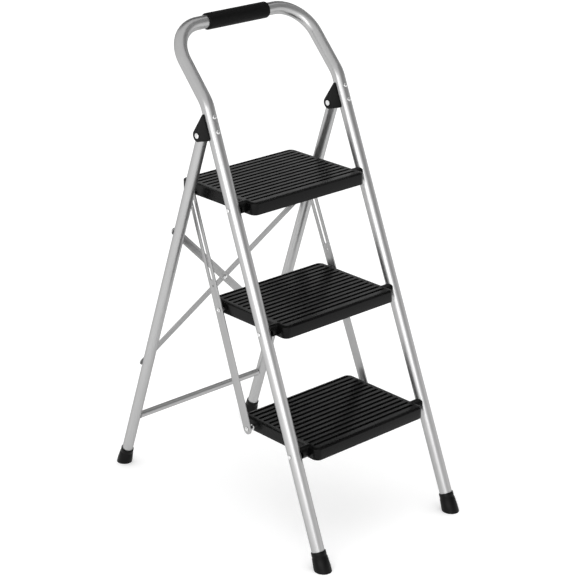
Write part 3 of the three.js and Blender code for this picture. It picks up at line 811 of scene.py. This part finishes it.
def tread(name):
    """A hollow ribbed tread with stiffeners below and a boss at each side, cut free of the legs."""
    pivot = JOINT_POS[f"tread_{name}_fold"]
    leg_centre_x = leg_x(pivot.z)
    obj = tread_shell()
    obj.name = f"tread_{name}_body"
    low, high = TREAD_BOTTOM + 1.5, TREAD_TOP - GROOVE_DEPTH - 1
    inside = TREAD_HALF - 1.5
    half = STIFFENER_HALF
    lengthwise = [block((-inside, y - half, low), (inside, y + half, high)) for y in (20, 76, 132)]
    cross = [block((x - half, TREAD_FRONT + 2, low), (x + half, TREAD_BACK - 2, high))
             for x in (-96, -48, 0, 48, 96)]
    boolean(obj, [merged(lengthwise), merged(cross)], "UNION")
    root = TREAD_HALF - 12
    bosses, seats = [], []
    for side in SIDES.values():
        inner = Vector((side * root, 0, 0))
        bosses.append(boss(inner, X_AXIS * side, leg_centre_x - 7 - root))
        seat = Vector((side * root, LINK_BACK, -LINK_DROP + 1.5))
        seats.append(cylinder(seat, seat + X_AXIS * side * 11, SEAT_R, 32))
    boolean(obj, [merged(bosses), merged(seats)], "UNION")
    grooves = [groove(FIRST_GROOVE + GROOVE_PITCH * i) for i in range(GROOVE_COUNT)]
    bores = []
    for side in SIDES.values():
        inner, outer = Vector((side * (TREAD_HALF + 2), 0, 0)), Vector((side * 200, 0, 0))
        bores.append(cylinder(inner, outer, RIVET_BORE_R, 32))
        link = Vector((side * (TREAD_HALF - 8), LINK_BACK, -LINK_DROP))
        bores.append(cylinder(link, link + X_AXIS * side * 60, RIVET_BORE_R, 32))
    boolean(obj, [merged(grooves), merged(bores)], "DIFFERENCE")
    left = leg_sweep(-1, leg_centre_x)
    right = leg_sweep(1, leg_centre_x)
    boolean(obj, [merged(list(pair)) for pair in zip(left, right)], "DIFFERENCE")
    obj.data.transform(Matrix.Translation(pivot * MM))
    finish_piece(obj, f"tread_{name}", tread_plastic, [f"tread_{name}"], 32)


# ---- side links ---------------------------------------------------------------------------
LINK_HALF_WIDTH = 11
LINK_THICKNESS = 2.5
SLOT_START = 300           # along the link, from its lowest pivot
SLOT_END = 465
SLOT_HALF = 3.4
DIMPLE_AT = 288            # the small hole below the slot
DIMPLE_R = 2
LINK_PIN_R = 3.0
LINK_SPACER_R = 4.0
LINK_BORE_R = 2.1          # the hollow in a link rivet's formed head
LINK_FLANGE_X = 145.3      # the flange that bears on the tread's side, from the middle plane


def flat_bar(node, body, across_hint, half_width, thickness, openings):
    """A fine bar in the place of a flat CAD bar, found from the bar's own corners."""
    points = node_points(node)
    along = long_axis(node)
    across = (across_hint - along * across_hint.dot(along)).normalized()
    depth = across.cross(along).normalized()
    reach = [points @ np.array(v) for v in (across, along, depth)]
    mid = [float((r.min() + r.max()) / 2) for r in reach]
    length = float(reach[1].max() - reach[1].min()) - 2 * half_width
    low = across * mid[0] + along * (mid[1] - length / 2) + depth * mid[2]
    obj = rounded_bar(node + "_bar", low, along, across, length, half_width, thickness,
                      openings(length))
    finish_piece(obj, body, link_paint, [node], 30)


def link_openings(length):
    """Three rivet holes, a small hole and the slot."""
    hole = RIVET_BORE_R
    return [(0, hole), (length / 2, hole), (length, hole), (DIMPLE_AT, DIMPLE_R),
            (SLOT_START + SLOT_HALF, SLOT_END - SLOT_HALF, SLOT_HALF)]


def link_rivet_profile(start_x, length):
    """Shank in the tread, flange on its side, spacer, shank in the link, and a tubular head."""
    r, spacer, bore = LINK_PIN_R, LINK_SPACER_R, LINK_BORE_R
    head = length - 1.1
    neck = head - 3.1
    flange = LINK_FLANGE_X - start_x
    flange_end = flange + min(1.6, 0.7 * (neck - flange))
    inner = [(0, 0), (r - 0.3, 0), (r, 0.3), (r, flange), (5.4, flange), (5.5, flange + 0.1),
             (5.5, flange_end - 0.1), (5.3, flange_end), (spacer, flange_end), (spacer, neck),
             (r, neck), (r, head)]
    outer = [(4.3, head), (4.4, head + 0.15), (4.3, head + 0.6), (3.8, head + 0.95), (3.1, length),
             (bore + 0.3, length - 0.1), (bore, length - 0.5), (bore, length - 2.5),
             (0, length - 2.5)]
    return inner + outer


def link_rivets():
    for name, side in SIDES.items():
        for tread_name in TREADS:
            node = f"link_rivet_{tread_name}_{name}"
            axis = X_AXIS * side
            start, length = spindle(node, axis)
            profile = link_rivet_profile(abs(start.x), length)
            pin = turned(node + "_head", start, axis, profile, 40)
            finish_piece(pin, f"tread_{tread_name}", rivet_steel, [node], 35)


# ---- rear frame ---------------------------------------------------------------------------
REAR_LEG_PAST_HINGE = 9
SLOT_PIN_R = 2.9
BRACE_HALF_WIDTH = 8.2
BRACE_THICKNESS = 2
BRACE_LOW_Z = 250          # heights of a brace's two end rivets
BRACE_TOP_Z = 564
BRACE_HOLE_R = 2.8
REAR_RIVET_R = 2.5


def rear_leg(name, side):
    node = f"rear_leg_{name}"
    direction = leg_direction(side, -REAR_LEAN)
    low = rear_point(side, 0) + direction * TUBE_START
    high = rear_point(side, hinge.z) + direction * REAR_LEG_PAST_HINGE
    path = [low.lerp(high, i / 14) for i in range(15)]
    tube = swept_tube(node + "_tube", path, REAR_TUBE_R, TUBE_WALL, 56)
    finish_piece(tube, "rear", frame_paint, [node])


def slot_pin(name, side):
    """The stub that points at the link's slot, with a flange on the rear leg."""
    node = f"slot_pin_{name}"
    axis = X_AXIS * side
    start, length = spindle(node, axis)
    flange = length - 4.3
    r = SLOT_PIN_R
    profile = [(0, 0), (r - 0.5, 0), (r, 0.5), (r, flange - 1.2), (4.8, flange - 1.2),
               (5, flange - 1), (5, flange), (r, flange), (r, length), (0, length)]
    pin = turned(node + "_pin", start, axis, profile, 32)
    finish_piece(pin, "rear", rivet_steel, [node])


def brace_openings(length):
    """A hole at each end, and one where the two braces cross."""
    low_x, high_x = leg_x(BRACE_LOW_Z), leg_x(BRACE_TOP_Z)
    crossing = length * (low_x / (low_x + high_x))
    return [(0, BRACE_HOLE_R), (crossing, BRACE_HOLE_R), (length, BRACE_HOLE_R)]


def brace_rivets():
    """Four end rivets with one domed head each, and a centre rivet with two."""
    for name in SIDES:
        for place in ("upper", "lower"):
            node = f"brace_rivet_{place}_{name}"
            axis = -REAR_BACKWARD
            start, length = spindle(node, axis)
            profile = rivet_profile(5.2, 2.6, REAR_RIVET_R, length)
            pin = turned(node + "_head", start, axis, profile, 32)
            finish_piece(pin, "rear", rivet_steel, [node])
    start, length = spindle("brace_rivet_centre", -REAR_BACKWARD)
    head = rivet_profile(5, 2.4, REAR_RIVET_R, length)[:-3]
    profile = head + [(r, length - h) for r, h in head[::-1]]
    pin = turned("brace_rivet_centre_head", start, -REAR_BACKWARD, profile, 32)
    finish_piece(pin, "rear", rivet_steel, ["brace_rivet_centre"])


def rear_crossbar():
    """A thin tube closed at each end by a disc with a rivet hole."""
    start, length = spindle("rear_crossbar", X_AXIS)
    tube_r, disc_r, disc, hole = 7, 7.4, 2.2, REAR_RIVET_R + CLEARANCE
    half = [(hole, 0), (disc_r - 0.3, 0), (disc_r, 0.3), (disc_r, disc - 0.2), (disc_r - 0.2, disc),
            (tube_r + 0.05, disc + 0.1), (tube_r, disc + 1.2)]
    inner = [(hole, disc), (tube_r - 1, disc), (tube_r - 1, length - disc), (hole, length - disc)]
    loop = half + [(tube_r, length * i / 10) for i in range(1, 10)]
    loop += [(r, length - h) for r, h in half[::-1]] + inner[::-1]
    bar = turned_ring("rear_crossbar_tube", start, X_AXIS, loop, 48)
    finish_piece(bar, "rear", frame_paint, ["rear_crossbar"])


def crossbar_rivets():
    for name, side in SIDES.items():
        node = f"crossbar_rivet_{name}"
        axis = X_AXIS * side
        start, length = spindle(node, axis)
        profile = rivet_profile(4.5, 1.5, REAR_RIVET_R, length)
        pin = turned(node + "_head", start, axis, profile, 32)
        finish_piece(pin, "rear", rivet_steel, [node])


front_frame()
handle_grip()
tread_pivot_rivets()
bracket_rivets()
for tread_name in TREADS:
    tread(tread_name)
for side_name, side_sign in SIDES.items():
    foot(f"front_foot_{side_name}", "front", front_point(side_sign, 0),
         leg_direction(side_sign, FRONT_LEAN), TUBE_R, FRONT_SOLE_R)
    foot(f"rear_foot_{side_name}", "rear", rear_point(side_sign, 0),
         leg_direction(side_sign, -REAR_LEAN), REAR_TUBE_R, REAR_SOLE_R)
    hinge_bracket(side_name, side_sign)
    hinge_pin(side_name, side_sign)
    rear_leg(side_name, side_sign)
    slot_pin(side_name, side_sign)
    flat_bar(f"link_{side_name}", f"link_{side_name}", FRONT_BACKWARD, LINK_HALF_WIDTH,
             LINK_THICKNESS, link_openings)
for brace_name in ("brace_left_top", "brace_right_top"):
    flat_bar(brace_name, "rear", REAR_UPWARD, BRACE_HALF_WIDTH, BRACE_THICKNESS, brace_openings)
link_rivets()
brace_rivets()
rear_crossbar()
crossbar_rivets()


# ---- studio -------------------------------------------------------------------------------
# Lengths are in metres from here on, but for the camera's target and distance.
CAMERA_AZIMUTH = -42.2318
CAMERA_ELEVATION = 21.6022
CAMERA_DISTANCE = 3640
CAMERA_TARGET = Vector((5.02, -10.52, 440.35))
LENS = 114.469
SENSOR = 36
LENS_SHIFT = 0.00087       # in sensor widths


def direction_from(azimuth, elevation=0):
    """Unit vector towards a viewpoint, in degrees. Azimuth 0 is the user's side, -Y."""
    az, el = math.radians(azimuth), math.radians(elevation)
    return Vector((math.sin(az) * math.cos(el), -math.cos(az) * math.cos(el), math.sin(el)))


def studio():
    """A white floor that glows a little, in even white light."""
    floor_mesh = bpy.data.meshes.new("studio_floor")
    half = 14
    corners = [(-half, -half, 0), (half, -half, 0), (half, half, 0), (-half, half, 0)]
    floor_mesh.from_pydata(corners, [], [(0, 1, 2, 3)])
    floor = bpy.data.objects.new("studio_floor", floor_mesh)
    bpy.context.scene.collection.objects.link(floor)
    n = Nodes("studio_floor")
    n.shader.inputs["Roughness"].default_value = 0.9
    n.shader.inputs["Specular IOR Level"].default_value = 0.0
    tone = n.ramp(n.noise(0.4, 2), "Fac", [(0.3, grey(0.93)), (0.7, grey(0.94))])
    n.link(tone, "Color", n.shader, "Base Color")
    n.shader.inputs["Emission Color"].default_value = (1, 1, 1, 1)
    n.shader.inputs["Emission Strength"].default_value = 0.2
    floor_mesh.materials.append(n.material)

    world = bpy.data.worlds.new("studio_world")
    world.use_nodes = True
    background = world.node_tree.nodes["Background"]
    background.inputs["Color"].default_value = (1, 1, 1, 1)
    background.inputs["Strength"].default_value = 1.0
    bpy.context.scene.world = world


def softbox(name, azimuth, elevation, distance, width, height, power, target=(0, 0, 0.45)):
    """An area light that faces the object."""
    away = direction_from(azimuth, elevation)
    data = bpy.data.lights.new(name, "AREA")
    data.shape = "RECTANGLE"
    data.size = width
    data.size_y = height
    data.energy = power
    light = bpy.data.objects.new(name, data)
    light.location = Vector(target) + away * distance
    light.rotation_euler = (-away).to_track_quat("-Z", "Y").to_euler()
    bpy.context.scene.collection.objects.link(light)


def dark_card(name, azimuth, width, heights, shade, distance=5.5):
    """An upright dark card beside or behind the object that only shows in reflections."""
    away = direction_from(azimuth)
    across = Vector((0, 0, 1)).cross(away)
    corners = [away * distance + across * u + Vector((0, 0, z))
               for u, z in ((-width / 2, heights[0]), (width / 2, heights[0]),
                            (width / 2, heights[1]), (-width / 2, heights[1]))]
    mesh = bpy.data.meshes.new(name)
    mesh.from_pydata([tuple(c) for c in corners], [], [(0, 1, 2, 3)])
    card = bpy.data.objects.new(name, mesh)
    bpy.context.scene.collection.objects.link(card)
    n = Nodes(name)
    n.shader.inputs["Specular IOR Level"].default_value = 0.0
    tone = n.ramp(n.noise(2, 2), "Fac", [(0.3, grey(shade)), (0.7, grey(shade * 1.1))])
    n.link(tone, "Color", n.shader, "Base Color")
    mesh.materials.append(n.material)
    card.visible_camera = False
    card.visible_diffuse = False
    card.visible_shadow = False


def camera():
    """The photograph's viewpoint: a long lens at the user's left, looking down a little."""
    data = bpy.data.cameras.new("photo_camera")
    data.sensor_fit = "HORIZONTAL"
    data.sensor_width = SENSOR
    data.lens = LENS
    data.clip_end = 60
    data.shift_x = -LENS_SHIFT
    data.shift_y = LENS_SHIFT
    cam = bpy.data.objects.new("photo_camera", data)
    away = direction_from(CAMERA_AZIMUTH, CAMERA_ELEVATION)
    right = Vector((0, 0, 1)).cross(away).normalized()
    up = away.cross(right)
    place = Matrix((right, up, away)).transposed().to_4x4()
    place.translation = (CAMERA_TARGET + away * CAMERA_DISTANCE) * MM
    cam.matrix_world = place
    bpy.context.scene.collection.objects.link(cam)
    bpy.context.scene.camera = cam


studio()
softbox("front_softbox", -53, 11.5, 3.2, 3.4, 1.4, 40)
dark_card("low_card", 137.8, 6, (0.1, 1.75), 0.02)
dark_card("high_card", 137.8, 8, (3.6, 9.0), 0.02)
dark_card("side_card", 45, 12, (1.5, 9.0), 0.3)
camera()
bpy.context.scene.view_settings.view_transform = "Standard"
bpy.context.scene.view_settings.look = "None"
